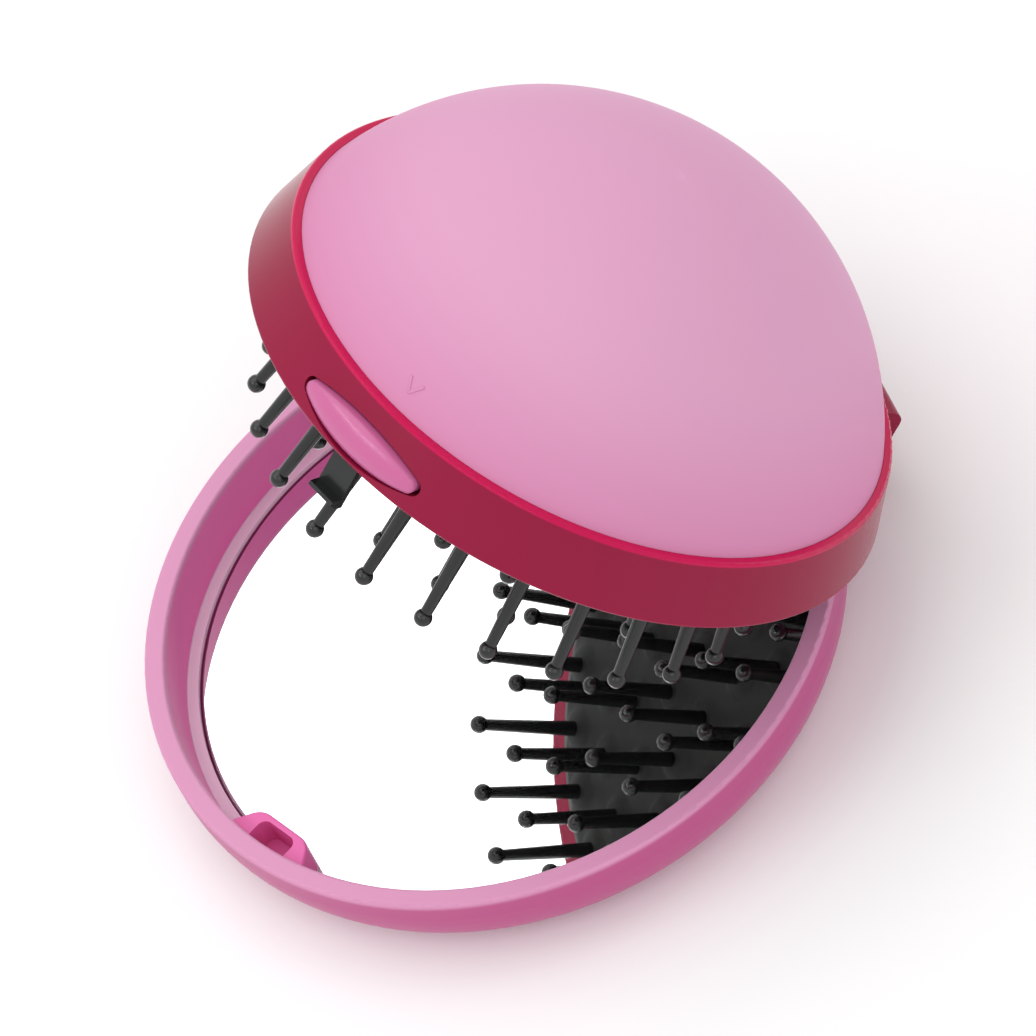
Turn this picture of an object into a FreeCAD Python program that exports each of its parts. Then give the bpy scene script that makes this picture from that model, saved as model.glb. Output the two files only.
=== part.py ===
"""Pop-up styling brush: a round compact whose pin pad rises from a domed case
as the mirror lid opens.

The lid lies flat on a table with its mirror up, and the domed case stands half
open on the rear hinge. Case, pad and push button are drawn in the closed pose
and then swung about the hinge to the rest angle.
"""
import FreeCAD, Part
import math
import os

V = FreeCAD.Vector

# General
overrun = 5.0
rest_angle = 44.8
front_angle = -68.0

# Mirror lid
lid_height = 10.6
lid_rim_radius = 37.0
lid_rim_wall = 2.2
lid_rim_round = 0.35
lid_base_round = 8.0
lid_wall_draft = 0.5
lid_floor = 2.3
ledge_width = 1.15

# Mirror and its tape
mirror_clearance = 0.2
mirror_thickness = 1.3
mirror_bevel = 0.3
mirror_sink = 0.3
tape_margin = 1.45
tape_thickness = 0.4

# Latch catch: a rounded hump inside the lid's front wall with a pocket behind it
catch_reach = 3.05
catch_wall = 0.7
catch_face_width = 7.0
catch_root_width = 12.0
catch_face_round = 2.2
catch_top_depth = 2.3
catch_top_round = 0.3
catch_slot_width = 5.0
catch_slot_round = 1.0
catch_floor = 0.5
catch_undercut_depth = 3.9
catch_undercut_height = 1.8
catch_undercut_skin = 1.5

# Hinge
hinge_offset = 1.2
hinge_height = 2.6
barrel_radius = 1.6
barrel_clearance = 0.35
knuckle_length = 3.2
knuckle_root = 5.8
lug_width = 7.0
lug_side_gap = 0.35
lug_thickness = 1.6
lug_foot_height = 2.4
lug_shoulder_round = 1.3
lug_wall_gap = 0.35
pin_radius = 0.7
pin_fit = 0.05
pin_running_clearance = 0.25
pin_head_radius = 1.2
pin_head_length = 0.4

# Rim band
parting_gap = 0.3
band_height = 7.2
band_setback = 2.0
band_taper = 1.8
band_wall = 1.8
band_edge_round = 0.35
band_land_drop = 0.05

# Dome cover
dome_step = 1.05
dome_rise = 21.7
dome_wall = 1.8
spigot_length = 0.8
spigot_wall = 1.6
spigot_clearance = 0.05

# Guide post under the dome and the stop at its foot
post_radius = 3.0
post_clearance = 0.3
spring_seat_length = 2.65
spring_seat_gap = 0.4
spring_seat_margin = 1.4
stop_washer_overlap = 1.2
stop_washer_clearance = 0.3
stop_washer_thickness = 0.8
stop_screw_radius = 1.2
stop_screw_fit = 0.05
stop_screw_length = 8.0
stop_head_radius = 2.1
stop_slot_width = 0.6
stop_slot_depth = 0.45

# Pop-up head: carrier of the pins, with a hollow stem on the guide post
head_gap = 3.4
head_front_cut = 1.9
head_level = 0.2
head_thickness = 1.8
skirt_setback = 3.0
skirt_wall = 1.4
skirt_height = 4.6
stem_wall = 1.5
stem_lip = 2.5
head_rise_room = 9.1
head_drop_room = 5.05
plug_thickness = 0.8
plug_fit = 0.05

# Cushion
cushion_gap = 1.8
cushion_edge = 3.0
cushion_crown = 1.5
cushion_round = 1.6
cushion_inset = 0.5

# Pins: one entry for each row from the centre outwards
row_counts = [1, 6, 12, 18, 24]
row_angles = [0, -38, -53, -64, -73]
row_root_shares = [0, 0.243, 0.461, 0.679, 0.893]
row_tip_shares = [0, 0.271, 0.514, 0.757, 0.993]
pin_tip_depth = 15.0
pin_root_radius = 0.92
pin_neck_radius = 0.6
pin_ball_radius = 0.95
pin_hole_clearance = 0.1

# Pop-up spring
pop_wire_radius = 0.35
pop_coil_gap = 1.4
pop_turns = 6

# Push button and latch
button_length = 19.6
button_height = 3.9
button_level = 2.6
button_proud = 0.9
button_bulge_radius = 3.4
button_tip_round = 0.9
button_window_gap = 0.25
flange_gap = 0.4
flange_thickness = 0.6
flange_end_inset = 0.68
flange_margin = 0.1
seat_raise = 0.9
seat_width = 8.4
seat_height = 4.8
seat_depth = 1.2
latch_fit = 0.05
latch_plate_width = 6.4
latch_plate_height = 6.0
latch_plate_thickness = 0.7
latch_width = 3.4
latch_setback = 1.2
latch_thickness = 0.8
latch_tail_bottom = 1.7
latch_tail_top = 3.3
latch_notch_gap = 0.3
latch_lip_gap = 0.3
latch_barb_height = 1.3
latch_barb_tip = 0.5
latch_barb_reach = 1.35

# Button bracket and spring
bracket_gap = 1.3
bracket_thickness = 0.7
bracket_raise = 1.8
bracket_height = 1.8
bracket_leg_gap = 1.25
bracket_leg_width = 2.15
button_wire_radius = 0.12
button_coil_outer = 1.0
button_coil_inner = 0.45
button_turns = 1.5

# Derived radii, from the lid's rim inwards
ledge_outer_radius = lid_rim_radius - lid_rim_wall - lid_wall_draft
recess_radius = ledge_outer_radius - ledge_width
mirror_radius = recess_radius - mirror_clearance
tape_radius = mirror_radius - tape_margin
catch_radius = ledge_outer_radius - catch_reach
catch_undercut_radius = lid_rim_radius - catch_undercut_skin
band_bottom_radius = lid_rim_radius - band_setback
band_top_radius = band_bottom_radius - band_taper
band_bore_radius = band_top_radius - band_wall
dome_edge_radius = band_top_radius - dome_step
head_radius = band_bore_radius - head_gap
head_front_flat = head_radius - head_front_cut
skirt_radius = head_radius - skirt_setback
cushion_radius = band_bore_radius - cushion_gap
flange_radius = band_bore_radius - flange_gap
seat_radius = band_bore_radius - seat_depth
latch_radius = band_bottom_radius - latch_setback
latch_barb_radius = latch_radius + latch_barb_reach

# Derived radii, from the guide post outwards
stop_washer_radius = post_radius + stop_washer_overlap
stem_bore_radius = stop_washer_radius + stop_washer_clearance
stem_radius = stem_bore_radius + stem_wall
pop_coil_radius = stem_radius + pop_coil_gap
spring_seat_inner = stem_radius + spring_seat_gap
spring_seat_outer = pop_coil_radius + spring_seat_margin

# Derived places, all in the closed pose
rim_z = lid_height
hinge_y = lid_rim_radius + hinge_offset
hinge_z = hinge_height
band_z = rim_z + parting_gap
band_top_z = band_z + band_height
dome_z = band_top_z - band_land_drop
spigot_z = dome_z - spigot_length
dome_radius = (dome_edge_radius ** 2 + dome_rise ** 2) / (2 * dome_rise)
dome_top_z = dome_z + dome_rise
dome_inner_z = dome_top_z - dome_wall
dome_center_z = dome_top_z - dome_radius
head_z = band_z + head_level
head_top_z = head_z + head_thickness
stem_top_z = dome_inner_z - head_rise_room
post_foot_z = stem_top_z - stem_lip - head_drop_room
spring_seat_z = dome_inner_z - spring_seat_length
ball_z = band_z - pin_tip_depth + pin_ball_radius
mirror_z = lid_floor + tape_thickness
ledge_z = mirror_z + mirror_thickness + mirror_sink
catch_top_z = rim_z - catch_top_depth
undercut_top_z = rim_z - catch_undercut_depth
barb_top_z = undercut_top_z - latch_lip_gap
button_z = band_z + button_level
seat_z = button_z + seat_raise
bracket_z = button_z + bracket_raise
bracket_front_y = -(head_front_flat + bracket_gap + bracket_thickness)


def revolve(edges):
    """Turn a closed outline in the XZ plane into a solid about the Z axis."""
    face = Part.Face(Part.Wire(edges))
    return face.revolve(V(0, 0, 0), V(0, 0, 1), 360)


def outline(*points):
    """Join points given as (radius, height) by straight edges, left open."""
    spots = [V(r, 0, z) for r, z in points]
    return [Part.makeLine(a, b) for a, b in zip(spots, spots[1:])]


def bow(start, through, end):
    """Make an arc in the XZ plane through three (radius, height) points."""
    spots = [V(r, 0, z) for r, z in (start, through, end)]
    return Part.Arc(*spots).toShape()


def corner(center, radius, from_angle, to_angle):
    """Make a round in the XZ plane about a (radius, height) centre."""
    def spot(angle):
        turn = math.radians(angle)
        return (center[0] + radius * math.cos(turn), center[1] + radius * math.sin(turn))
    middle = (from_angle + to_angle) / 2
    return bow(spot(from_angle), spot(middle), spot(to_angle))


def to_front(shape):
    """Turn a shape drawn at -Y about the Z axis to the latch side."""
    turned = shape.copy()
    turned.rotate(V(0, 0, 0), V(0, 0, 1), 90 + front_angle)
    return turned


def cylinder_x(radius, x_from, x_to):
    """Make a cylinder along X on the hinge axis."""
    return Part.makeCylinder(radius, x_to - x_from, V(x_from, hinge_y, hinge_z), V(1, 0, 0))


def block(x_half, y_from, y_to, z_from, z_to):
    """Make a box centred on X from two Y and two Z limits."""
    corner_point = V(-x_half, y_from, z_from)
    return Part.makeBox(2 * x_half, y_to - y_from, z_to - z_from, corner_point)


def upright_edges(shape, y):
    """Find the edges of a shape that stand along Z at a given Y."""
    return [e for e in shape.Edges if e.BoundBox.XLength < pin_fit and e.BoundBox.YLength < pin_fit
            and abs(e.CenterOfMass.y - y) < pin_fit]


def sector(inner, outer, z_from, z_to, half_angle, middle=-90):
    """Make a curved plate between two radii, centred on an angle about Z."""
    height = z_to - z_from
    start = middle - half_angle
    tube = Part.makeCylinder(outer, height, V(0, 0, z_from), V(0, 0, 1), 2 * half_angle)
    tube = tube.cut(Part.makeCylinder(inner, height, V(0, 0, z_from)))
    tube.rotate(V(0, 0, 0), V(0, 0, 1), start)
    return tube


def leaf(half_length, half_height, y_from, y_to):
    """Make a leaf-shaped bar along Y, centred on the button's height."""
    left = V(-half_length, y_from, button_z)
    right = V(half_length, y_from, button_z)
    top = V(0, y_from, button_z + half_height)
    low = V(0, y_from, button_z - half_height)
    upper = Part.Arc(left, top, right).toShape()
    lower = Part.Arc(right, low, left).toShape()
    bar = Part.Face(Part.Wire([upper, lower])).extrude(V(0, y_to - y_from, 0))
    tips = [e for e in bar.Edges if abs(abs(e.CenterOfMass.x) - half_length) < button_tip_round]
    return bar.makeFillet(button_tip_round, tips)


def coil_path(radius_at, height_at, turns, steps_per_turn=4):
    """Join biarcs along a coil about Z and report its least gap on points.

    radius_at and height_at give the wire's centre for a share of the coil.
    """
    def spot(share):
        turn = 2 * math.pi * turns * share
        r = radius_at(share)
        return V(r * math.cos(turn), r * math.sin(turn), height_at(share))

    def heading(share):
        small_share = 1 / (steps_per_turn * turns) / 1000
        way = spot(share + small_share) - spot(share - small_share)
        return way.normalize()

    def arc(start, way, end):
        chord = end - start
        along = V(chord).normalize()
        side = (way - along * way.dot(along)).normalize()
        bend = math.acos(min(way.dot(along), 1))
        middle = (start + end) * 0.5 + side * (chord.Length / 2 * math.tan(bend / 2))
        return Part.Arc(start, middle, end).toShape()

    edges = []
    count = int(turns * steps_per_turn)
    for i in range(count):
        a, b = i / count, (i + 1) / count
        p, q, t, u = spot(a), spot(b), heading(a), heading(b)
        v = q - p
        lead = 2 * (1 - t.dot(u))
        pull = 2 * v.dot(t + u)
        d = (math.sqrt(pull * pull + 4 * lead * v.dot(v)) - pull) / (2 * lead)
        joint = (p + q + (t - u) * d) * 0.5
        way_back = arc(q, u * -1, joint)
        edges.append(arc(p, t, joint))
        edges.append(Part.Arc(joint, way_back.valueAt(way_back.ParameterRange[0]
                     + (way_back.ParameterRange[1] - way_back.ParameterRange[0]) / 2), q).toShape())
    return edges, spot, heading


def coil(name, wire_radius, radius_at, height_at, turns):
    """Make one unbroken spring wire and print its least gap to itself."""
    edges, spot, heading = coil_path(radius_at, height_at, turns)
    ring = Part.makeCircle(wire_radius, spot(0), heading(0))
    wire = Part.Wire(edges).makePipeShell([Part.Wire(ring)], True, False)
    points_per_turn = 36
    count = int(turns * points_per_turn)
    spots = [spot(i / count) for i in range(count + 1)]
    skip = points_per_turn // 2
    least = min((a - b).Length for i, a in enumerate(spots) for b in spots[i + skip:])
    print(name, "least gap to itself", round(least - 2 * wire_radius, 2), "mm")
    return wire


def lid_shell():
    """Shallow dish with a drafted wall, mirror recess, catch and two hinge knuckles."""
    outer_r = lid_rim_radius
    base_r = outer_r - lid_base_round
    r = lid_rim_round
    shell = revolve(
        outline((0, rim_z), (0, 0), (base_r, 0))
        + [corner((base_r, lid_base_round), lid_base_round, -90, 0)]
        + outline((outer_r, lid_base_round), (outer_r, rim_z - r))
        + [corner((outer_r - r, rim_z - r), r, 0, 90)]
        + outline((outer_r - r, rim_z), (0, rim_z)))
    inner_x = lug_width / 2 + lug_side_gap
    outer_x = inner_x + knuckle_length
    for x_from in (inner_x, -outer_x):
        x_to = x_from + knuckle_length
        root = Part.makeBox(knuckle_length, knuckle_root, 2 * barrel_radius,
                            V(x_from, hinge_y - knuckle_root, hinge_z - barrel_radius))
        shell = shell.fuse([root, cylinder_x(barrel_radius, x_from, x_to)])
    shell = shell.cut(cylinder_x(barrel_radius + barrel_clearance, -inner_x, inner_x))
    shell = shell.cut(cylinder_x(pin_radius + pin_fit, -outer_x, outer_x))
    shell = shell.cut(lid_cavity())
    wall_mid_r = ledge_outer_radius + lid_rim_wall / 2
    root_y = -math.sqrt(wall_mid_r ** 2 - (catch_root_width / 2) ** 2)
    face_half = catch_face_width / 2
    root_half = catch_root_width / 2
    plan = [V(-root_half, root_y, ledge_z), V(-root_half, -wall_mid_r, ledge_z),
            V(root_half, -wall_mid_r, ledge_z), V(root_half, root_y, ledge_z),
            V(face_half, -catch_radius, ledge_z), V(-face_half, -catch_radius, ledge_z)]
    hump = Part.Face(Part.makePolygon(plan + plan[:1])).extrude(V(0, 0, catch_top_z - ledge_z))
    hump = hump.makeFillet(catch_face_round, upright_edges(hump, -catch_radius))
    rim_edges = [e for e in hump.Edges if abs(e.CenterOfMass.z - catch_top_z) < catch_top_round
                 and e.CenterOfMass.y > root_y]
    hump = hump.makeFillet(catch_top_round, rim_edges)
    hump = hump.common(Part.makeCylinder(wall_mid_r, rim_z))
    slot_r = catch_radius + catch_wall
    slot = block(catch_slot_width / 2, -wall_mid_r, -slot_r, ledge_z + catch_floor, rim_z)
    slot = slot.makeFillet(catch_slot_round, upright_edges(slot, -slot_r))
    slot = slot.common(lid_cavity())
    undercut = block(catch_slot_width / 2, -catch_undercut_radius, -ledge_outer_radius,
                     undercut_top_z - catch_undercut_height, undercut_top_z)
    return shell.fuse(to_front(hump)).cut([to_front(slot), to_front(undercut)]).removeSplitter()


def lid_cavity():
    """Inside of the lid: mirror recess, ledge and drafted wall up to a rounded lip."""
    inner_r = lid_rim_radius - lid_rim_wall
    r = lid_rim_round
    reach = r * math.sqrt(0.5)
    return revolve(
        outline((0, rim_z), (0, lid_floor), (recess_radius, lid_floor), (recess_radius, ledge_z),
                (ledge_outer_radius, ledge_z), (inner_r, rim_z - r))
        + [bow((inner_r, rim_z - r), (inner_r + r - reach, rim_z - r + reach), (inner_r + r, rim_z))]
        + outline((inner_r + r, rim_z), (0, rim_z)))


def mirror_glass():
    """Round mirror with a fine ground bevel at its upper edge."""
    top = mirror_z + mirror_thickness
    return revolve(outline(
        (0, mirror_z), (mirror_radius, mirror_z), (mirror_radius, top - mirror_bevel),
        (mirror_radius - mirror_bevel, top), (0, top), (0, mirror_z)))


def mirror_tape():
    """Disc of double-sided tape between the lid floor and the mirror."""
    return Part.makeCylinder(tape_radius, tape_thickness, V(0, 0, lid_floor))


def hinge_pin():
    """Hinge pin with a flat head at each end."""
    half = lug_width / 2 + lug_side_gap + knuckle_length
    pin = cylinder_x(pin_radius, -half, half)
    heads = [cylinder_x(pin_head_radius, half, half + pin_head_length),
             cylinder_x(pin_head_radius, -half - pin_head_length, -half)]
    return pin.fuse(heads).removeSplitter()


def rim_band():
    """Glossy band with the button's window in front and the hinge lug behind."""
    r = band_edge_round
    seat_r = dome_edge_radius + spigot_clearance
    top_r = band_top_radius
    band = revolve(
        outline((band_bore_radius, band_z), (band_bottom_radius - r, band_z))
        + [corner((band_bottom_radius - r, band_z + r), r, -90, 0)]
        + outline((band_bottom_radius, band_z + r), (top_r, band_top_z - r))
        + [corner((top_r - r, band_top_z - r), r, 0, 90)]
        + outline((top_r - r, band_top_z), (seat_r, dome_z), (seat_r, spigot_z),
                  (band_bore_radius, spigot_z), (band_bore_radius, band_z)))
    gap = button_window_gap
    window = leaf(button_length / 2 + gap, button_height / 2 + gap,
                  -band_bottom_radius - overrun, -band_bore_radius + overrun)
    notch = block(latch_width / 2 + latch_notch_gap, -latch_radius - latch_notch_gap, 0,
                  band_z, button_z)
    band = band.cut([to_front(window), to_front(notch)])
    arm_y = lid_rim_radius + lug_wall_gap
    arm_back = arm_y + lug_thickness
    wall_mid_r = (band_bore_radius + band_bottom_radius) / 2
    foot = block(lug_width / 2, 0, arm_back, band_z, band_z + lug_foot_height)
    foot = foot.cut(Part.makeCylinder(wall_mid_r, lid_height * 2))
    arm = block(lug_width / 2, arm_y, arm_back, hinge_z, band_z + lug_foot_height)
    lug = foot.fuse(arm).removeSplitter()
    edges = [e for e in lug.Edges if abs(e.CenterOfMass.y - arm_back) < pin_fit
             and abs(e.CenterOfMass.z - band_z - lug_foot_height) < pin_fit]
    lug = lug.makeFillet(lug_shoulder_round, edges)
    barrel = cylinder_x(barrel_radius, -lug_width / 2, lug_width / 2)
    bore = cylinder_x(pin_radius + pin_running_clearance, -lug_width, lug_width)
    return band.fuse([lug, barrel]).cut(bore).removeSplitter()


def dome_cover():
    """Domed shell with a spigot for the band, a central guide post and a spring seat."""
    inner_radius = dome_radius - dome_wall
    inner_r = dome_edge_radius - spigot_wall
    inner_z = dome_center_z + math.sqrt(inner_radius ** 2 - inner_r ** 2)
    half_turn = math.asin(dome_edge_radius / dome_radius) / 2
    outer_mid = (dome_radius * math.sin(half_turn), dome_center_z + dome_radius * math.cos(half_turn))
    half_turn = math.asin(inner_r / inner_radius) / 2
    inner_mid = (inner_radius * math.sin(half_turn), dome_center_z + inner_radius * math.cos(half_turn))
    top_z = dome_top_z
    solid = revolve(
        outline((0, spigot_z), (dome_edge_radius, spigot_z), (dome_edge_radius, dome_z))
        + [bow((dome_edge_radius, dome_z), outer_mid, (0, top_z))]
        + outline((0, top_z), (0, spigot_z)))
    hollow = revolve(
        outline((0, spigot_z), (inner_r, spigot_z), (inner_r, inner_z))
        + [bow((inner_r, inner_z), inner_mid, (0, dome_inner_z))]
        + outline((0, dome_inner_z), (0, spigot_z)))
    shell = solid.cut(hollow)
    post = Part.makeCylinder(post_radius, top_z - post_foot_z, V(0, 0, post_foot_z))
    seat = Part.makeCylinder(spring_seat_outer, top_z - spring_seat_z, V(0, 0, spring_seat_z))
    seat = seat.cut(Part.makeCylinder(spring_seat_inner, top_z - spring_seat_z, V(0, 0, spring_seat_z)))
    shell = shell.fuse([post.common(solid), seat.common(solid)])
    pilot = Part.makeCylinder(stop_screw_radius + stop_screw_fit, stop_screw_length, V(0, 0, post_foot_z))
    return shell.cut(pilot).removeSplitter()


def head_plate():
    """Round carrier of the pins with a skirt and a hollow stem that slides on the post."""
    plate = Part.makeCylinder(head_radius, head_thickness, V(0, 0, head_z))
    skirt = Part.makeCylinder(skirt_radius, skirt_height, V(0, 0, head_top_z))
    skirt = skirt.cut(Part.makeCylinder(skirt_radius - skirt_wall, skirt_height, V(0, 0, head_top_z)))
    stem = Part.makeCylinder(stem_radius, stem_top_z - head_top_z, V(0, 0, head_top_z))
    lip_z = stem_top_z - stem_lip
    bore = Part.makeCylinder(stem_bore_radius, lip_z - head_z, V(0, 0, head_z))
    mouth = Part.makeCylinder(post_radius + post_clearance, stem_lip, V(0, 0, lip_z))
    body = plate.fuse([skirt, stem]).cut([bore, mouth])
    return body.cut(front_waste(head_z, head_top_z)).removeSplitter()


def stem_plug():
    """Disc that closes the stem's bore behind the cushion."""
    return Part.makeCylinder(stem_bore_radius - plug_fit, plug_thickness, V(0, 0, head_z))


def front_waste(z_from, z_to):
    """Make the slice that flattens the head's front beside the button."""
    return to_front(block(head_radius, -head_radius - overrun, -head_front_flat, z_from - overrun, z_to))


def stop_washer():
    """Washer at the post's foot that stops the head at the end of its travel."""
    base = V(0, 0, post_foot_z - stop_washer_thickness)
    disc = Part.makeCylinder(stop_washer_radius, stop_washer_thickness, base)
    return disc.cut(Part.makeCone(stop_head_radius + stop_screw_fit, stop_screw_radius + stop_screw_fit,
                                  stop_washer_thickness, base))


def stop_screw():
    """Slotted countersunk screw that holds the washer on the post, flush with it."""
    low = post_foot_z - stop_washer_thickness
    head = Part.makeCone(stop_head_radius, stop_screw_radius, stop_washer_thickness, V(0, 0, low))
    shank = Part.makeCylinder(stop_screw_radius, stop_screw_length, V(0, 0, post_foot_z))
    slot = block(stop_slot_width / 2, -stop_head_radius, stop_head_radius, low, low + stop_slot_depth)
    return head.fuse(shank).cut(slot).removeSplitter()


def pin_at(row, grow):
    """Make one pin of a row, pointing along +X, with its shaft grown for a hole."""
    root = V(row_root_shares[row] * head_radius, 0, head_z)
    ball = V(row_tip_shares[row] * head_radius, 0, ball_z)
    way = (ball - root).normalize()
    start = root - way * pin_root_radius
    reach = (ball - start).Length
    shaft = Part.makeCone(pin_root_radius + grow, pin_neck_radius + grow, reach, start, way)
    if grow:
        return shaft
    tip = Part.makeSphere(pin_ball_radius, ball)
    half = 2 * head_radius
    above = Part.makeBox(2 * half, 2 * half, overrun, V(-half, -half, head_z))
    return shaft.fuse(tip).cut(above).removeSplitter()


def around(shape, row):
    """Copy one pin's shape round its row from the row's own start angle."""
    copies = []
    step = 360 / row_counts[row]
    for i in range(row_counts[row]):
        turned = shape.copy()
        turned.rotate(V(0, 0, 0), V(0, 0, 1), row_angles[row] + step * i)
        copies.append(turned)
    return copies


def pin_row(row):
    """Make all ball-tipped pins of one row."""
    return Part.makeCompound(around(pin_at(row, 0), row))


def cushion():
    """Crowned rubber pad, drawn in at its side and pierced for every pin."""
    r = cushion_round
    edge_z = head_z - cushion_edge
    crown_z = edge_z - cushion_crown
    side_r = cushion_radius - cushion_inset
    shoulder_r = cushion_radius - r
    mid = (shoulder_r / 2, crown_z + cushion_crown / 4)
    pad = revolve(
        outline((0, head_z), (0, crown_z))
        + [bow((0, crown_z), mid, (shoulder_r, edge_z))]
        + [corner((shoulder_r, edge_z + r), r, -90, 0)]
        + [Part.makeLine(V(cushion_radius, 0, edge_z + r), V(side_r, 0, head_z))]
        + outline((side_r, head_z), (0, head_z)))
    pad.rotate(V(0, 0, 0), V(0, 0, 1), front_angle)
    pad = pad.cut(front_waste(crown_z, head_z))
    for row in range(len(row_counts)):
        pad = pad.cut(around(pin_at(row, pin_hole_clearance), row))
    return pad


def pop_spring():
    """Coil round the stem, between the head plate and the dome's spring seat."""
    low = head_top_z + pop_wire_radius
    high = spring_seat_z - pop_wire_radius
    return coil("pop_spring", pop_wire_radius, lambda share: pop_coil_radius,
                lambda share: low + (high - low) * share, pop_turns)


def bulge(crown_r, reach):
    """Barrel whose convex side gives the button its face, as far out as reach."""
    rise = button_height / 2 + button_window_gap
    fall = button_bulge_radius - math.sqrt(button_bulge_radius ** 2 - rise ** 2)
    edge_r = crown_r - fall
    barrel = revolve(
        outline((0, button_z - rise), (edge_r, button_z - rise))
        + [bow((edge_r, button_z - rise), (crown_r, button_z), (edge_r, button_z + rise))]
        + outline((edge_r, button_z + rise), (0, button_z + rise), (0, button_z - rise)))
    barrel.translate(V(0, crown_r - reach, 0))
    return barrel


def button_cap():
    """Convex leaf-shaped push button with a curved keeper flange behind the band."""
    taper = (band_bottom_radius - band_top_radius) / band_height
    band_r = band_bottom_radius - taper * button_level
    half = button_length / 2
    drop = band_r + button_proud - math.sqrt(band_r ** 2 - half ** 2)
    crown_r = (half ** 2 + drop ** 2) / (2 * drop)
    cap = leaf(half, button_height / 2, -band_r - overrun, -seat_radius)
    cap = cap.common(bulge(crown_r, band_r + button_proud))
    flange_mid_r = flange_radius - flange_thickness / 2
    cap = cap.cut(Part.makeCylinder(flange_mid_r, lid_height * 3))
    rise = button_height / 2 + flange_margin
    end_angle = math.degrees(math.asin((half - flange_end_inset) / flange_radius))
    flange = sector(flange_radius - flange_thickness, flange_radius, button_z - rise, button_z + rise,
                    end_angle)
    seat = block(seat_width / 2, -flange_radius, -seat_radius,
                 seat_z - seat_height / 2, seat_z + seat_height / 2)
    seat = seat.common(Part.makeCylinder(flange_mid_r, lid_height * 3))
    slot = block(latch_width / 2 + latch_fit, -latch_radius - latch_fit, 0,
                 band_z, band_z + latch_tail_top + latch_fit)
    return to_front(cap.fuse([flange, seat]).cut(slot).removeSplitter())


def latch_arm():
    """Hook set in the back of the button: it reaches down into the lid's catch."""
    back_y = -seat_radius + latch_plate_thickness
    plate = block(latch_plate_width / 2, -seat_radius, back_y,
                  seat_z - latch_plate_height / 2, seat_z + latch_plate_height / 2)
    tail_top_z = band_z + latch_tail_top
    tail = block(latch_width / 2, -latch_radius, -seat_radius, band_z + latch_tail_bottom, tail_top_z)
    foot_z = barb_top_z - latch_barb_height
    arm = block(latch_width / 2, -latch_radius, latch_thickness - latch_radius, foot_z, tail_top_z)
    barb_points = [V(0, -latch_radius, foot_z), V(0, -latch_radius, barb_top_z),
                   V(0, -latch_barb_radius, barb_top_z),
                   V(0, -latch_barb_radius, barb_top_z - latch_barb_tip), V(0, -latch_radius, foot_z)]
    barb = Part.Face(Part.makePolygon(barb_points)).extrude(V(latch_width, 0, 0))
    barb.translate(V(-latch_width / 2, 0, 0))
    return to_front(plate.fuse([tail, arm, barb]).removeSplitter())


def button_guide():
    """Bracket inside the band that carries the button's spring."""
    z_from = bracket_z
    z_to = z_from + bracket_height
    back_y = bracket_front_y + bracket_thickness
    leg_x = button_length / 2 + bracket_leg_gap
    near = math.asin(leg_x / band_bore_radius)
    far = math.asin((leg_x + bracket_leg_width) / band_bore_radius)
    bar = block(-back_y * math.tan(far), bracket_front_y, back_y, z_from, z_to)
    legs = []
    for side in (-1, 1):
        middle = -90 + side * math.degrees(near + far) / 2
        legs.append(sector(head_front_flat, band_bore_radius, z_from, z_to,
                           math.degrees(far - near) / 2, middle))
    waste = block(band_bore_radius, back_y, 0, z_from, z_to)
    bore = Part.makeCylinder(band_bore_radius, bracket_height, V(0, 0, z_from))
    return to_front(bar.fuse(legs).cut(waste).common(bore).removeSplitter())


def button_spring():
    """Conical coil that pushes the button out."""
    low = -seat_radius + latch_plate_thickness + button_wire_radius
    high = bracket_front_y - button_wire_radius
    spread = button_coil_inner - button_coil_outer
    wire = coil("button_spring", button_wire_radius, lambda share: button_coil_outer + spread * share,
                lambda share: -low - (high - low) * share, button_turns)
    wire.rotate(V(0, 0, 0), V(1, 0, 0), 90)
    wire.translate(V(0, 0, bracket_z + bracket_height / 2))
    return to_front(wire)


def swing_open(shape):
    """Swing a piece of the case about the hinge to the rest angle."""
    turned = shape.copy()
    turned.rotate(V(0, hinge_y, hinge_z), V(1, 0, 0), -rest_angle)
    return turned


def main():
    """Build every piece and write one file for each."""
    os.makedirs("parts", exist_ok=True)
    pieces = {
        "lid_shell": lid_shell(),
        "mirror_glass": mirror_glass(),
        "mirror_tape": mirror_tape(),
        "hinge_pin": hinge_pin(),
    }
    swung = {
        "rim_band": rim_band(),
        "dome_cover": dome_cover(),
        "pop_spring": pop_spring(),
        "head_plate": head_plate(),
        "stem_plug": stem_plug(),
        "stop_washer": stop_washer(),
        "stop_screw": stop_screw(),
        "cushion": cushion(),
        "button_cap": button_cap(),
        "latch_arm": latch_arm(),
        "button_guide": button_guide(),
        "button_spring": button_spring(),
    }
    for row in range(len(row_counts)):
        swung["pin_row_%d" % row] = pin_row(row)
    pieces.update({name: swing_open(shape) for name, shape in swung.items()})
    for name, shape in pieces.items():
        shape.exportStep("parts/%s.step" % name)
        print(name, "solids", len(shape.Solids), "valid", shape.isValid(), "volume", round(shape.Volume, 1))


main()
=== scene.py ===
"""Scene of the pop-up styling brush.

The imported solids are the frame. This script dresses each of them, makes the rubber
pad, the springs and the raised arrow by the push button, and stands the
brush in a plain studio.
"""
from __future__ import annotations

import logging
import math
from dataclasses import dataclass, field
from enum import Enum

import bmesh
import bpy
from mathutils import Matrix, Vector

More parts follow.
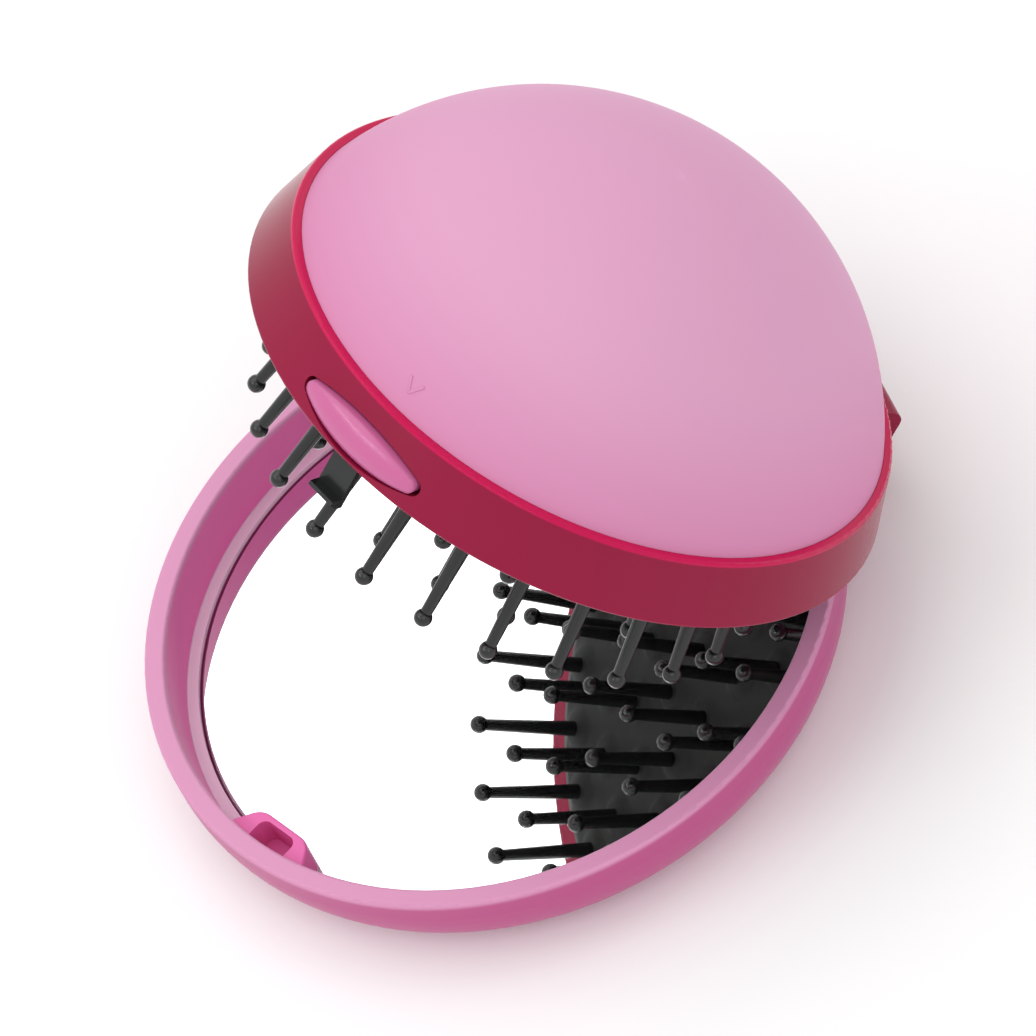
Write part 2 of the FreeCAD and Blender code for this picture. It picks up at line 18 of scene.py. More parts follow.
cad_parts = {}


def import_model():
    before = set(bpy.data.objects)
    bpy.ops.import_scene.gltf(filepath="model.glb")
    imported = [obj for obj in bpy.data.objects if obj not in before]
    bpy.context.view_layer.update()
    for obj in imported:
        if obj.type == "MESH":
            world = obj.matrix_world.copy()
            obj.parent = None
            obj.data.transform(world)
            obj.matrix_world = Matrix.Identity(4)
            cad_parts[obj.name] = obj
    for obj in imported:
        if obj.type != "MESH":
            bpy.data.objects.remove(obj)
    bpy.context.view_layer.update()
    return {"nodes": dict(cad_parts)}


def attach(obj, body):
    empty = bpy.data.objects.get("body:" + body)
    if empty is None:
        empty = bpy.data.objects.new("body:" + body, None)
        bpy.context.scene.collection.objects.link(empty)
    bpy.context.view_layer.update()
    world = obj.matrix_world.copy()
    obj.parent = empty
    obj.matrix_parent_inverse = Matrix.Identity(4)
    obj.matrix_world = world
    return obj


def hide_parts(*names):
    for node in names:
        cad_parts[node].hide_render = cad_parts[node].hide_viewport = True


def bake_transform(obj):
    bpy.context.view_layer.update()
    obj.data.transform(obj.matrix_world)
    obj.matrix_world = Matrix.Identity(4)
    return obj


LOG = logging.getLogger("styling_brush")
MM = 0.001
UP = Vector((0.0, 0.0, 1.0))
WHITE = (1.0, 1.0, 1.0, 1.0)
SCREEN_WHITE = 255.0
SCREEN_KNEE = 0.04045
SCREEN_SLOPE = 12.92
SCREEN_LIFT = 0.055
SCREEN_GAMMA = 2.4
Colour = tuple[int, int, int]
Paint = Colour | bpy.types.NodeSocket


class Body(str, Enum):
    """Bodies of the brush that new pieces ride on."""

    CASE = "brush_body"
    HEAD = "bristle_head"
    BUTTON = "release_button"


class Measure(Enum):
    """What the place of a painted light or shade is measured along."""

    PLANE = "distance along a direction"
    RADIUS = "distance from the Z axis"


class Slot(str, Enum):
    """Material slots of the record that new pieces take their finish from."""

    SHELL = "pink_shell"
    RUBBER = "black_rubber"
    STEEL = "steel"


def linear(colour: Colour) -> tuple[float, float, float, float]:
    """Turn a screen colour of 0 to 255 into a linear one for a shader socket.

    Args:
        colour: red, green and blue as seen on a screen.

    Returns:
        Linear red, green and blue with a full alpha.
    """
    parts = []
    for part in colour:
        share = part / SCREEN_WHITE
        if share <= SCREEN_KNEE:
            parts.append(share / SCREEN_SLOPE)
        else:
            parts.append(((share + SCREEN_LIFT) / (1.0 + SCREEN_LIFT)) ** SCREEN_GAMMA)
    return (parts[0], parts[1], parts[2], 1.0)


@dataclass
class ShaderSheet:
    """A node tree with short ways to add nodes and join sockets."""

    tree: bpy.types.NodeTree

    def add(self, kind: str, **settings: object) -> bpy.types.Node:
        """Add a node of a kind and set its properties.

        Args:
            kind: Blender's name of the node type.
            settings: properties of the node by name.

        Returns:
            The new node.
        """
        node = self.tree.nodes.new(kind)
        for name, value in settings.items():
            setattr(node, name, value)
        return node

    def join(self, source: bpy.types.NodeSocket, target: bpy.types.NodeSocket) -> None:
        """Link an output to an input."""
        self.tree.links.new(source, target)

    def span(self, source: bpy.types.NodeSocket, low: float, high: float) -> bpy.types.NodeSocket:
        """Spread a 0 to 1 value over a range.

        Args:
            source: the value to spread.
            low: result where the value is 0.
            high: result where the value is 1.

        Returns:
            The output socket of the spread value.
        """
        node = self.add("ShaderNodeMapRange")
        node.inputs["To Min"].default_value = low
        node.inputs["To Max"].default_value = high
        self.join(source, node.inputs["Value"])
        return node.outputs["Result"]

    def blend(self, share: bpy.types.NodeSocket, first: Paint, second: Paint) -> bpy.types.NodeSocket:
        """Mix two colours by a 0 to 1 value.

        Args:
            share: how much of the second colour shows.
            first: screen colour or socket where the share is 0.
            second: screen colour or socket where the share is 1.

        Returns:
            The output socket of the mixed colour.
        """
        node = self.add("ShaderNodeMix", data_type="RGBA")
        sockets = [s for s in node.inputs if s.type == "RGBA"]
        for socket, paint in zip(sockets, (first, second)):
            if isinstance(paint, tuple):
                socket.default_value = linear(paint)
            else:
                self.join(paint, socket)
        self.join(share, node.inputs["Factor"])
        return [s for s in node.outputs if s.type == "RGBA"][0]

    def shown(self) -> bpy.types.NodeSocket:
        """Tell rays that show a thing, to the eye or in mirrors and glass, from those that only light.

        Returns:
            The output socket, 1 for rays that show and 0 for the others.
        """
        path = self.add("ShaderNodeLightPath")
        mirrored = self.add("ShaderNodeMath", operation="MAXIMUM")
        self.join(path.outputs["Is Glossy Ray"], mirrored.inputs[0])
        self.join(path.outputs["Is Transmission Ray"], mirrored.inputs[1])
        either = self.add("ShaderNodeMath", operation="MAXIMUM")
        self.join(path.outputs["Is Camera Ray"], either.inputs[0])
        self.join(mirrored.outputs["Value"], either.inputs[1])
        return either.outputs["Value"]


@dataclass
class SkinGroup:
    """Node group for a moulded skin: slow colour flow, handling haze and fine grain."""

    name: str = "moulded_skin"
    flow_detail: float = 2.0
    haze_share: float = 2.6

    def build(self) -> bpy.types.NodeTree:
        """Make the group once and hand it out after that.

        Returns:
            The node group.
        """
        if self.name in bpy.data.node_groups:
            return bpy.data.node_groups[self.name]
        tree = bpy.data.node_groups.new(self.name, "ShaderNodeTree")
        tree.interface.new_socket(name="Place", in_out="INPUT", socket_type="NodeSocketVector")
        tree.interface.new_socket(name="Flow Scale", in_out="INPUT", socket_type="NodeSocketFloat")
        tree.interface.new_socket(name="Grain Scale", in_out="INPUT", socket_type="NodeSocketFloat")
        for name in ("Flow", "Haze", "Grain"):
            tree.interface.new_socket(name=name, in_out="OUTPUT", socket_type="NodeSocketFloat")
        sheet = ShaderSheet(tree)
        start = sheet.add("NodeGroupInput")
        end = sheet.add("NodeGroupOutput")
        flow = self._noise(sheet, start, "Flow Scale")
        flow.inputs["Detail"].default_value = self.flow_detail
        sheet.join(flow.outputs["Fac"], end.inputs["Flow"])
        grain = self._noise(sheet, start, "Grain Scale")
        sheet.join(grain.outputs["Fac"], end.inputs["Grain"])
        faster = sheet.add("ShaderNodeMath", operation="MULTIPLY")
        faster.inputs[1].default_value = self.haze_share
        sheet.join(start.outputs["Flow Scale"], faster.inputs[0])
        haze = sheet.add("ShaderNodeTexNoise")
        sheet.join(start.outputs["Place"], haze.inputs["Vector"])
        sheet.join(faster.outputs["Value"], haze.inputs["Scale"])
        sheet.join(haze.outputs["Fac"], end.inputs["Haze"])
        return tree

    def _noise(self, sheet: ShaderSheet, start: bpy.types.Node, scale: str) -> bpy.types.Node:
        """Add a noise texture fed by the group's place and one of its scales.

        Args:
            sheet: the group's node sheet.
            start: the group's input node.
            scale: name of the scale input.

        Returns:
            The noise node.
        """
        noise = sheet.add("ShaderNodeTexNoise")
        sheet.join(start.outputs["Place"], noise.inputs["Vector"])
        sheet.join(start.outputs[scale], noise.inputs["Scale"])
        return noise


@dataclass(frozen=True)
class PaintedShading:
    """Painted light or shade: a tone laid on beyond a plane or a radius, such as painted light on the land
    of a rim.
    """

    tone: Colour
    start: float
    end: float
    normal: tuple[float, float, float] = (0.0, 0.0, 1.0)
    measure: Measure = Measure.PLANE

    def share(self, sheet: ShaderSheet, place: bpy.types.NodeSocket) -> bpy.types.NodeSocket:
        """Fade from 0 to 1 between the start and end of the painted light or shade.

        Args:
            sheet: node sheet of the material.
            place: object coordinates in metres.

        Returns:
            The output socket of the fade.
        """
        if self.measure is Measure.RADIUS:
            flat = sheet.add("ShaderNodeVectorMath", operation="MULTIPLY")
            flat.inputs[1].default_value = (1.0, 1.0, 0.0)
            sheet.join(place, flat.inputs[0])
            along = sheet.add("ShaderNodeVectorMath", operation="LENGTH")
            sheet.join(flat.outputs["Vector"], along.inputs[0])
        else:
            along = sheet.add("ShaderNodeVectorMath", operation="DOT_PRODUCT")
            along.inputs[1].default_value = self.normal
            sheet.join(place, along.inputs[0])
        fade = sheet.add("ShaderNodeMapRange", interpolation_type="SMOOTHSTEP")
        fade.inputs["From Min"].default_value = self.start
        fade.inputs["From Max"].default_value = self.end
        sheet.join(along.outputs["Value"], fade.inputs["Value"])
        return fade.outputs["Result"]


@dataclass(frozen=True)
class Finish:
    """One finish of the brush, from moulded plastic to silvered glass."""

    name: str
    tone: Colour
    flow_tone: Colour
    roughness: float
    haze: float
    flow_size: float = 18.0 * MM
    grain_size: float = 0.22 * MM
    grain_depth: float = 0.004 * MM
    metallic: float = 0.0
    specular: float = 0.5
    stretch: tuple[float, float, float] = (1.0, 1.0, 1.0)
    edge_round: float = 0.0
    edge_samples: int = 6
    # painted light and shade, laid over the tone by place
    painted_shading: tuple[PaintedShading, ...] = ()

    def material(self) -> bpy.types.Material:
        """Make the procedural material, or find it when it is there already.

        Returns:
            The material.
        """
        name = self.name + "_finish"
        if name in bpy.data.materials:
            return bpy.data.materials[name]
        made = bpy.data.materials.new(name)
        made.use_nodes = True
        sheet = ShaderSheet(made.node_tree)
        shader = made.node_tree.nodes["Principled BSDF"]
        shader.inputs["Metallic"].default_value = self.metallic
        shader.inputs["Specular IOR Level"].default_value = self.specular
        place = sheet.add("ShaderNodeTexCoord")
        turn = sheet.add("ShaderNodeMapping")
        turn.inputs["Scale"].default_value = self.stretch
        sheet.join(place.outputs["Object"], turn.inputs["Vector"])
        skin = sheet.add("ShaderNodeGroup", node_tree=SkinGroup().build())
        skin.inputs["Flow Scale"].default_value = 1.0 / self.flow_size
        skin.inputs["Grain Scale"].default_value = 1.0 / self.grain_size
        sheet.join(turn.outputs["Vector"], skin.inputs["Place"])
        paint = sheet.blend(skin.outputs["Flow"], self.tone, self.flow_tone)
        # Each painted light or shade is laid over the flow tone by place.
        for painted in self.painted_shading:
            paint = sheet.blend(painted.share(sheet, place.outputs["Object"]), paint, painted.tone)
        sheet.join(paint, shader.inputs["Base Color"])
        low, high = self.roughness - self.haze, self.roughness + self.haze
        sheet.join(sheet.span(skin.outputs["Haze"], low, high), shader.inputs["Roughness"])
        bump = sheet.add("ShaderNodeBump")
        bump.inputs["Strength"].default_value = 1.0
        bump.inputs["Distance"].default_value = self.grain_depth
        sheet.join(skin.outputs["Grain"], bump.inputs["Height"])
        if self.edge_round:
            soft = sheet.add("ShaderNodeBevel", samples=self.edge_samples)
            soft.inputs["Radius"].default_value = self.edge_round
            sheet.join(soft.outputs["Normal"], bump.inputs["Normal"])
        sheet.join(bump.outputs["Normal"], shader.inputs["Normal"])
        return made

    def dress(self, piece: bpy.types.Object) -> None:
        """Put the finish on every material slot of a piece."""
        if not piece.material_slots:
            piece.data.materials.append(self.material())
        for slot in piece.material_slots:
            slot.material = self.material()


CASE_AXIS = (0.0, 0.704634, 0.709571)
PRESS_AXIS = (-0.374607, 0.657903, -0.653325)
# Painted light: a brighter crimson on the band's upward-facing top land.
BAND_LAND_PAINTED_LIGHT = PaintedShading((204, 16, 82), 43.75 * MM, 43.95 * MM, CASE_AXIS)
# Painted shade: the dome fades to a deeper, darker pink towards its rim.
DOME_RIM_PAINTED_SHADE = PaintedShading((217, 143, 183), 59.0 * MM, 43.0 * MM, CASE_AXIS)
# Painted sheen: a near-white pink on the ledge round the mirror.
LID_LEDGE_PAINTED_SHEEN = PaintedShading((240, 202, 225), 3.7 * MM, 3.9 * MM)
# Painted light: a lighter, stronger pink above the ledge that lifts the shade of the lid's inner wall.
LID_WALL_PAINTED_LIGHT = PaintedShading((238, 112, 180), 4.4 * MM, 4.6 * MM)
# Painted shade: the deep pink of the lid's outer wall beyond a radius of 35 mm.
LID_OUTSIDE_PAINTED_SHADE = PaintedShading((192, 82, 138), 35.0 * MM, 35.6 * MM, measure=Measure.RADIUS)
# Painted light: a paler pink on the upward-facing top of the rim.
LID_LAND_PAINTED_LIGHT = PaintedShading((223, 152, 191), 9.7 * MM, 10.5 * MM)
SHELL_PINK = Finish("shell_pink", (223, 163, 197), (225, 167, 200), roughness=0.38, haze=0.05,
                    flow_size=40 * MM, grain_depth=0.003 * MM, specular=0.02, painted_shading=(DOME_RIM_PAINTED_SHADE,))
# The lid's base tone is the same deep pink as the painted shade on its outer wall; its ledge, inner wall
# and rim top carry painted light and sheen.
LID_PINK = Finish("lid_pink", (192, 82, 138), (195, 88, 143), roughness=0.34, haze=0.05,
                  flow_size=30 * MM, grain_depth=0.002 * MM, specular=0.3,
                  painted_shading=(LID_LEDGE_PAINTED_SHEEN, LID_WALL_PAINTED_LIGHT, LID_OUTSIDE_PAINTED_SHADE, LID_LAND_PAINTED_LIGHT))
BAND_MAGENTA = Finish("band_magenta", (146, 22, 60), (152, 25, 64), roughness=0.22, haze=0.04,
                      grain_depth=0.0015 * MM, specular=0.17, painted_shading=(BAND_LAND_PAINTED_LIGHT,))
BUTTON_PINK = Finish("button_pink", (203, 98, 152), (207, 105, 158), roughness=0.22, haze=0.04,
                     flow_size=9 * MM, grain_depth=0.002 * MM, edge_round=0.7 * MM)
PIN_BLACK = Finish("pin_black", (24, 25, 25), (32, 34, 34), roughness=0.21, haze=0.05,
                   flow_size=6 * MM, grain_depth=0.003 * MM)
PAD_RUBBER = Finish("pad_rubber", (22, 23, 22), (30, 31, 29), roughness=0.62, haze=0.08,
                    flow_size=9 * MM, grain_size=0.35 * MM, grain_depth=0.012 * MM, specular=0.35)
MIRROR_SILVER = Finish("mirror_silver", (246, 249, 248), (250, 251, 251), roughness=0.012, haze=0.008,
                       flow_size=25 * MM, grain_size=4 * MM, grain_depth=0.0, metallic=1.0)
HINGE_STEEL = Finish("hinge_steel", (176, 176, 174), (196, 196, 194), roughness=0.37, haze=0.08,
                     flow_size=4 * MM, grain_size=0.1 * MM, metallic=1.0, stretch=(0.08, 1.0, 1.0))
TAPE_WHITE = Finish("tape_white", (222, 219, 208), (231, 228, 219), roughness=0.85, haze=0.06,
                    flow_size=5 * MM, grain_size=0.3 * MM, grain_depth=0.02 * MM)
NATURAL_PLASTIC = Finish("natural_plastic", (214, 211, 203), (222, 220, 213), roughness=0.42, haze=0.06)


@dataclass
class CasePose:
    """Swing of the case from the closed pose to its half-open rest."""

    hinge: Vector = field(default_factory=lambda: Vector((0.0, 38.2, 2.6)))
    angle: float = math.radians(-44.8)

    def matrix(self) -> Matrix:
        """Give the move from closed-pose millimetres to rest-pose metres."""
        swing = Matrix.Rotation(self.angle, 4, "X")
        about = Matrix.Translation(self.hinge) @ swing @ Matrix.Translation(-self.hinge)
        return Matrix.Scale(MM, 4) @ about


def new_piece(name: str, shape: bmesh.types.BMesh, sharp_angle: float) -> bpy.types.Object:
    """Turn a bmesh into a smooth-shaded object at the origin.

    Args:
        name: name of the piece.
        shape: the finished mesh, in metres and in place; it is freed here.
        sharp_angle: edges bent more than this, in radians, stay sharp.

    Returns:
        The linked object.
    """
    mesh = bpy.data.meshes.new(name)
    shape.to_mesh(mesh)
    shape.free()
    for face in mesh.polygons:
        face.use_smooth = True
    mesh.set_sharp_from_angle(angle=sharp_angle)
    piece = bpy.data.objects.new(name, mesh)
    bpy.context.scene.collection.objects.link(piece)
    return piece


@dataclass(frozen=True)
class SpringCoil:
    """Steel spring held by the case at one end and by a moving body at the other."""

    node: str
    mover: Body
    axis: tuple[float, float, float]
    held_level: float
    moved_level: float
    weld: float = 0.001 * MM
    sharp_angle: float = math.radians(60.0)

    def build(self, nodes: dict[str, bpy.types.Object]) -> bpy.types.Object:
        """Copy the spring's solid as a smooth-shaded steel piece and hide the solid.

        Args:
            nodes: the solids by name.

        Returns:
            The spring piece, which stands for the rigid solid.
        """
        shape = bmesh.new()
        shape.from_mesh(nodes[self.node].data)
        bmesh.ops.remove_doubles(shape, verts=shape.verts, dist=self.weld)
        piece = new_piece(self.node + "_coil", shape, self.sharp_angle)
        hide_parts(self.node)
        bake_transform(piece)
        HINGE_STEEL.dress(piece)
        LOG.info("%s built", piece.name)
        return piece


@dataclass
class MirrorLid:
    """Lid with its mirror, tape and hinge pin."""

    nodes: dict[str, bpy.types.Object]

    def dress(self) -> None:
        """Give each solid of the lid its finish."""
        LID_PINK.dress(self.nodes["lid_shell"])
        MIRROR_SILVER.dress(self.nodes["mirror_glass"])
        TAPE_WHITE.dress(self.nodes["mirror_tape"])
        HINGE_STEEL.dress(self.nodes["hinge_pin"])
        LOG.info("mirror lid dressed")


@dataclass
class BrushCase:
    """Domed case with its band, and the raised arrow that points at the button."""

    nodes: dict[str, bpy.types.Object]
    pose: CasePose
    dome_radius: float = 34.666
    dome_centre: float = 5.084
    arrow_tip_radius: float = 31.4
    arrow_azimuth: float = math.radians(-66.1)
    arrow_arm: float = 1.8
    arrow_spread: float = math.radians(31.0)
    stroke_width: float = 0.3
    stroke_height: float = 0.16
    stroke_round: float = 0.07
    round_steps: int = 2
    sharp_angle: float = math.radians(60.0)
    springs: tuple[SpringCoil, ...] = (
        SpringCoil("pop_spring", Body.HEAD, CASE_AXIS, 61.1 * MM, 39.4 * MM),
        SpringCoil("button_spring", Body.BUTTON, PRESS_AXIS, -40.2 * MM, -41.37 * MM),
    )

    def build(self) -> bpy.types.Object:
        """Make the two strokes of the arrow on the dome.

        Returns:
            The arrow piece.
        """
        tilt = math.asin(self.arrow_tip_radius / self.dome_radius)
        surface = (Matrix.Translation((0.0, 0.0, self.dome_centre))
                   @ Matrix.Rotation(self.arrow_azimuth, 4, "Z")
                   @ Matrix.Rotation(tilt, 4, "Y")
                   @ Matrix.Translation((0.0, 0.0, self.dome_radius)))
        shape = bmesh.new()
        for side in (-1.0, 1.0):
            turn = Matrix.Rotation(math.pi + side * self.arrow_spread, 4, "Z")
            size = Matrix.Diagonal((self.arrow_arm, self.stroke_width, self.stroke_height, 1.0))
            place = turn @ Matrix.Translation((self.arrow_arm / 2, 0.0, 0.0)) @ size
            bmesh.ops.create_cube(shape, size=1.0, matrix=surface @ place)
        bmesh.ops.bevel(shape, geom=list(shape.edges), offset=self.stroke_round, offset_type="OFFSET",
                        affect="EDGES", segments=self.round_steps, profile=0.5, material=-1)
        bmesh.ops.transform(shape, matrix=self.pose.matrix(), verts=shape.verts)
        bmesh.ops.recalc_face_normals(shape, faces=shape.faces)
        piece = new_piece("push_arrow", shape, self.sharp_angle)
        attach(piece, Body.CASE.value)
        SHELL_PINK.dress(piece)
        LOG.info("push_arrow built")
        return piece

    def dress(self) -> None:
        """Give each solid of the case its finish, and put in the springs."""
        SHELL_PINK.dress(self.nodes["dome_cover"])
        BAND_MAGENTA.dress(self.nodes["rim_band"])
        NATURAL_PLASTIC.dress(self.nodes["button_guide"])
        for name in ("stop_washer", "stop_screw"):
            HINGE_STEEL.dress(self.nodes[name])
        for spring in self.springs:
            spring.build(self.nodes)
        LOG.info("case dressed")


@dataclass
class BristleHead:
    """Pop-up head: carrier, rubber pad and rows of ball-tipped pins."""

    nodes: dict[str, bpy.types.Object]
    pose: CasePose
    back_level: float = 11.1
    ball_level: float = -3.15
    pad_radius: float = 29.6
    pad_edge: float = 3.0
    pad_crown: float = 1.5
    pad_round: float = 1.6
    pad_inset: float = 0.5
    front_flat: float = 26.1
    front_azimuth: float = math.radians(-68.0)
    head_radius: float = 28.0
    row_counts: tuple[int, ...] = (1, 6, 12, 18, 24)
    row_angles: tuple[float, ...] = (0.0, -38.0, -53.0, -64.0, -73.0)
    root_shares: tuple[float, ...] = (0.0, 0.243, 0.461, 0.679, 0.893)
    tip_shares: tuple[float, ...] = (0.0, 0.271, 0.514, 0.757, 0.993)
    collar_radius: float = 1.5
    collar_fade: float = 0.9
    collar_height: float = 0.5
    spin_steps: int = 264
    crown_cuts: int = 56
    back_cuts: int = 6
    weld: float = 0.001
    face_margin: float = 0.01
    sharp_angle: float = math.radians(50.0)

    def pin_spots(self) -> list[Vector]:
        """Find where each pin leaves the pad, seen along the head's axis.

        Returns:
            One flat vector for each pin, in millimetres.
        """
        depth_share = (self.pad_edge + self.pad_crown / 2) / (self.back_level - self.ball_level)
        spots = []
        for row, count in enumerate(self.row_counts):
            root = self.root_shares[row] * self.head_radius
            tip = self.tip_shares[row] * self.head_radius
            reach = root + (tip - root) * depth_share
            for i in range(count):
                turn = math.radians(self.row_angles[row] + i * 360.0 / count)
                spots.append(Vector((reach * math.cos(turn), reach * math.sin(turn))))
        return spots

    def build(self) -> bpy.types.Object:
        """Make the crowned pad with a raised collar round every pin.

        Returns:
            The pad piece, which stands for the plain solid.
        """
        shape = bmesh.new()
        self._spin_pad(shape)
        self._crown(shape)
        self._flatten_front(shape)
        bmesh.ops.transform(shape, matrix=self.pose.matrix(), verts=shape.verts)
        bmesh.ops.recalc_face_normals(shape, faces=shape.faces)
        piece = new_piece("bristle_pad", shape, self.sharp_angle)
        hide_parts("cushion")
        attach(piece, Body.HEAD.value)
        PAD_RUBBER.dress(piece)
        LOG.info("bristle_pad built with %d collars", sum(self.row_counts))
        return piece

    def _spin_pad(self, shape: bmesh.types.BMesh) -> None:
        """Turn the pad's half outline into a closed body, in closed-pose millimetres."""
        low = self.back_level - self.pad_edge
        shoulder = self.pad_radius - self.pad_round
        bend = self.pad_round * math.sqrt(0.5)
        points = [(0.0, low), (shoulder, low),
                  (shoulder + bend, low + self.pad_round - bend),
                  (self.pad_radius, low + self.pad_round),
                  (self.pad_radius - self.pad_inset, self.back_level), (0.0, self.back_level)]
        spots = [shape.verts.new((r, 0.0, z)) for r, z in points]
        edges = [shape.edges.new(pair) for pair in zip(spots, spots[1:])]
        bmesh.ops.subdivide_edges(shape, edges=edges[:1], cuts=self.crown_cuts)
        bmesh.ops.subdivide_edges(shape, edges=edges[-1:], cuts=self.back_cuts)
        bmesh.ops.spin(shape, geom=list(shape.verts) + list(shape.edges), axis=UP, cent=(0.0, 0.0, 0.0),
                       angle=math.tau, steps=self.spin_steps, use_merge=True)
        bmesh.ops.remove_doubles(shape, verts=shape.verts, dist=self.weld)
        bmesh.ops.recalc_face_normals(shape, faces=shape.faces)

    def _crown(self, shape: bmesh.types.BMesh) -> None:
        """Bow the pad's face outwards and raise the collars on it."""
        low = self.back_level - self.pad_edge
        shoulder = self.pad_radius - self.pad_round
        spots = self.pin_spots()
        for vert in shape.verts:
            if vert.co.z > low + self.face_margin:
                continue
            flat = vert.co.xy
            share = min(flat.length / shoulder, 1.0)
            bow = self.pad_crown * (1.0 - share * share)
            near = min((flat - spot).length for spot in spots)
            fade = min(max((near - self.collar_radius) / self.collar_fade, 0.0), 1.0)
            ring = self.collar_height * (1.0 - fade * fade * (3.0 - 2.0 * fade))
            vert.co.z = low - bow - ring

    def _flatten_front(self, shape: bmesh.types.BMesh) -> None:
        """Cut the pad flat beside the button and close the cut."""
        ahead = Vector((math.cos(self.front_azimuth), math.sin(self.front_azimuth), 0.0))
        geom = list(shape.verts) + list(shape.edges) + list(shape.faces)
        cut = bmesh.ops.bisect_plane(shape, geom=geom, plane_co=ahead * self.front_flat, plane_no=ahead,
                                     clear_outer=True)
        edges = [e for e in cut["geom_cut"] if isinstance(e, bmesh.types.BMEdge)]
        bmesh.ops.holes_fill(shape, edges=edges, sides=0)

    def dress(self) -> None:
        """Give the carrier and the pins their finish."""
        for name in ("head_plate", "stem_plug"):
            PIN_BLACK.dress(self.nodes[name])
        for row in range(len(self.row_counts)):
            PIN_BLACK.dress(self.nodes["pin_row_%d" % row])
        LOG.info("bristle head dressed")


@dataclass
class ReleaseButton:
    """Push button with its latch arm."""

    nodes: dict[str, bpy.types.Object]

    def dress(self) -> None:
        """Give the button and its latch their finish."""
        BUTTON_PINK.dress(self.nodes["button_cap"])
        PIN_BLACK.dress(self.nodes["latch_arm"])
        LOG.info("release button dressed")


@dataclass(frozen=True)
class Softbox:
    """One studio lamp that looks at a point of the brush."""

    name: str
    place: tuple[float, float, float]
    width: float
    height: float
    power: float
    aim: tuple[float, float, float] = (0.0, 0.01, 0.02)

    def build(self) -> bpy.types.Object:
        """Hang the lamp and turn it to its aim.

        Returns:
            The lamp object.
        """
        lamp = bpy.data.lights.new(self.name, "AREA")
        lamp.shape = "RECTANGLE"
        lamp.size = self.width
        lamp.size_y = self.height
        lamp.energy = self.power
        thing = bpy.data.objects.new(self.name, lamp)
        bpy.context.scene.collection.objects.link(thing)
        thing.location = self.place
        ahead = Vector(self.aim) - Vector(self.place)
        thing.rotation_euler = ahead.to_track_quat("-Z", "Y").to_euler()
        return thing


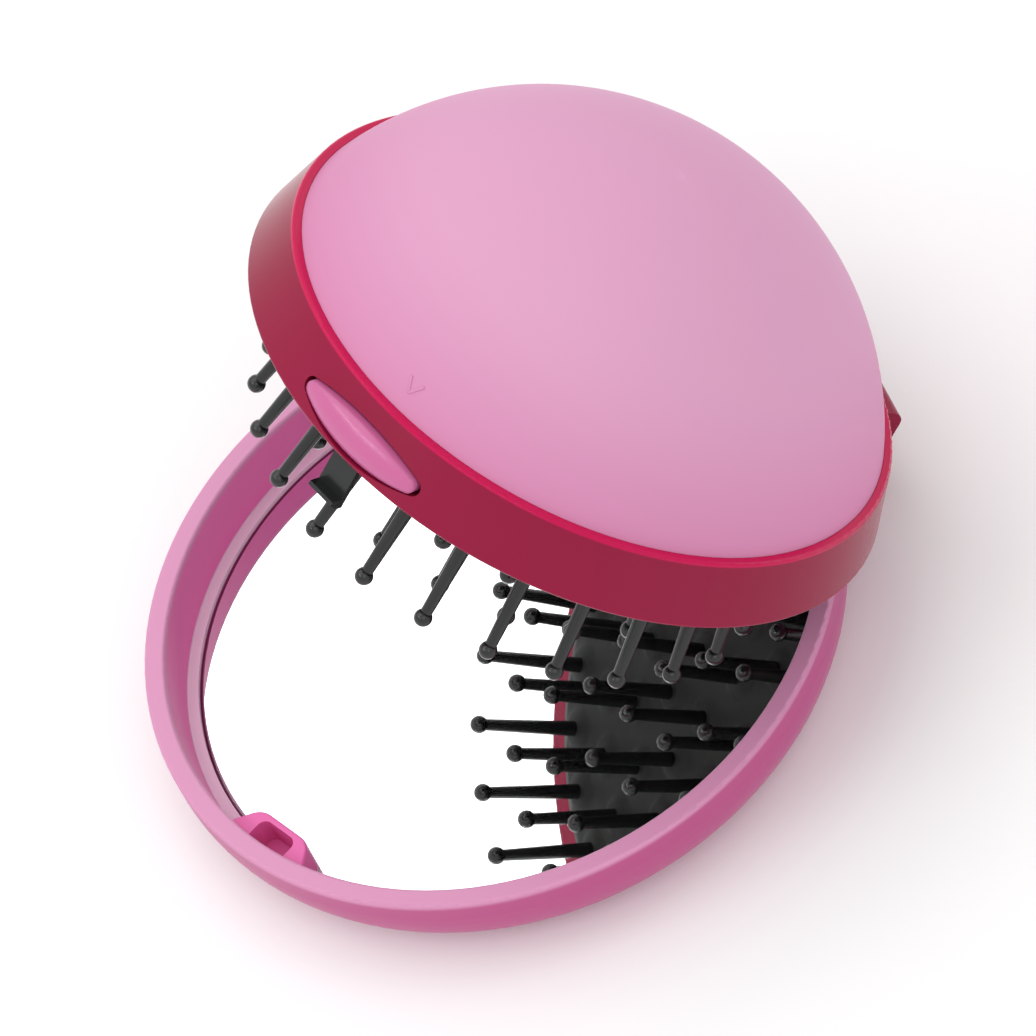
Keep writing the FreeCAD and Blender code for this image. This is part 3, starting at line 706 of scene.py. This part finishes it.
@dataclass
class Studio:
    """Pale floor, soft lamps, white surroundings and the camera."""

    floor_size: float = 8.0
    floor_level: float = -0.0001
    surround_light: float = 0.7
    floor_tone: float = 0.95
    floor_glow: float = 0.06
    floor_roughness: float = 0.9
    floor_sharp_angle: float = math.radians(30.0)
    camera_place: tuple[float, float, float] = (0.942632, 0.010664, 1.213724)
    camera_right: tuple[float, float, float] = (0.366466, 0.88327, -0.292466)
    camera_up: tuple[float, float, float] = (-0.69399, 0.468856, 0.546398)
    camera_back: tuple[float, float, float] = (0.619742, 0.002732, 0.784801)
    lens: float = 521.2
    sensor: float = 36.0
    lamps: tuple[Softbox, ...] = (
        Softbox("key_softbox", (-1.1, -0.3, 2.6), 2.8, 2.8, 26.0),
        Softbox("camera_softbox", (1.6, 0.2, 1.8), 1.6, 1.6, 7.0),
        Softbox("ridge_strip", (0.05, -1.25, 1.5), 1.4, 0.16, 5.0),
    )

    def build(self) -> None:
        """Set up everything round the brush."""
        self._floor()
        self._surround()
        self._camera()
        for lamp in self.lamps:
            lamp.build()
        bpy.context.scene.view_settings.view_transform = "Standard"
        LOG.info("studio built")

    def _floor(self) -> None:
        """Lay a plain pale floor under the brush."""
        shape = bmesh.new()
        bmesh.ops.create_grid(shape, x_segments=1, y_segments=1, size=self.floor_size / 2)
        bmesh.ops.translate(shape, verts=shape.verts, vec=(0.0, 0.0, self.floor_level))
        floor = new_piece("studio_floor", shape, self.floor_sharp_angle)
        made = bpy.data.materials.new("floor_white")
        made.use_nodes = True
        shader = made.node_tree.nodes["Principled BSDF"]
        shader.inputs["Base Color"].default_value = (self.floor_tone, self.floor_tone, self.floor_tone, 1.0)
        shader.inputs["Roughness"].default_value = self.floor_roughness
        shader.inputs["Specular IOR Level"].default_value = 0.0
        shader.inputs["Emission Color"].default_value = WHITE
        sheet = ShaderSheet(made.node_tree)
        glow = sheet.add("ShaderNodeMath", operation="MULTIPLY")
        glow.inputs[1].default_value = self.floor_glow
        sheet.join(sheet.shown(), glow.inputs[0])
        sheet.join(glow.outputs["Value"], shader.inputs["Emission Strength"])
        floor.data.materials.append(made)

    def _surround(self) -> None:
        """Make the world white to the eye and in reflections, and soft as a light."""
        world = bpy.data.worlds.new("studio_surround")
        world.use_nodes = True
        bpy.context.scene.world = world
        sheet = ShaderSheet(world.node_tree)
        light = world.node_tree.nodes["Background"]
        light.inputs["Color"].default_value = WHITE
        light.inputs["Strength"].default_value = self.surround_light
        seen = sheet.add("ShaderNodeBackground")
        seen.inputs["Color"].default_value = WHITE
        seen.inputs["Strength"].default_value = 1.0
        mix = sheet.add("ShaderNodeMixShader")
        sheet.join(sheet.shown(), mix.inputs["Fac"])
        sheet.join(light.outputs["Background"], mix.inputs[1])
        sheet.join(seen.outputs["Background"], mix.inputs[2])
        sheet.join(mix.outputs["Shader"], world.node_tree.nodes["World Output"].inputs["Surface"])

    def _camera(self) -> None:
        """Stand the camera where the photograph was taken from."""
        lens = bpy.data.cameras.new("photo_camera")
        lens.lens = self.lens
        lens.sensor_width = self.sensor
        camera = bpy.data.objects.new("photo_camera", lens)
        bpy.context.scene.collection.objects.link(camera)
        turn = Matrix((self.camera_right, self.camera_up, self.camera_back)).transposed()
        camera.matrix_world = Matrix.Translation(self.camera_place) @ turn.to_4x4()
        bpy.context.scene.camera = camera


def main() -> None:
    """Load the frame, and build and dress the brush."""
    logging.basicConfig(level=logging.INFO, format="%(name)s: %(message)s")
    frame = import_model()
    nodes = frame["nodes"]
    pose = CasePose()
    MirrorLid(nodes).dress()
    case = BrushCase(nodes, pose)
    case.build()
    case.dress()
    head = BristleHead(nodes, pose)
    head.build()
    head.dress()
    ReleaseButton(nodes).dress()
    Studio().build()


if __name__ == "__main__":
    main()
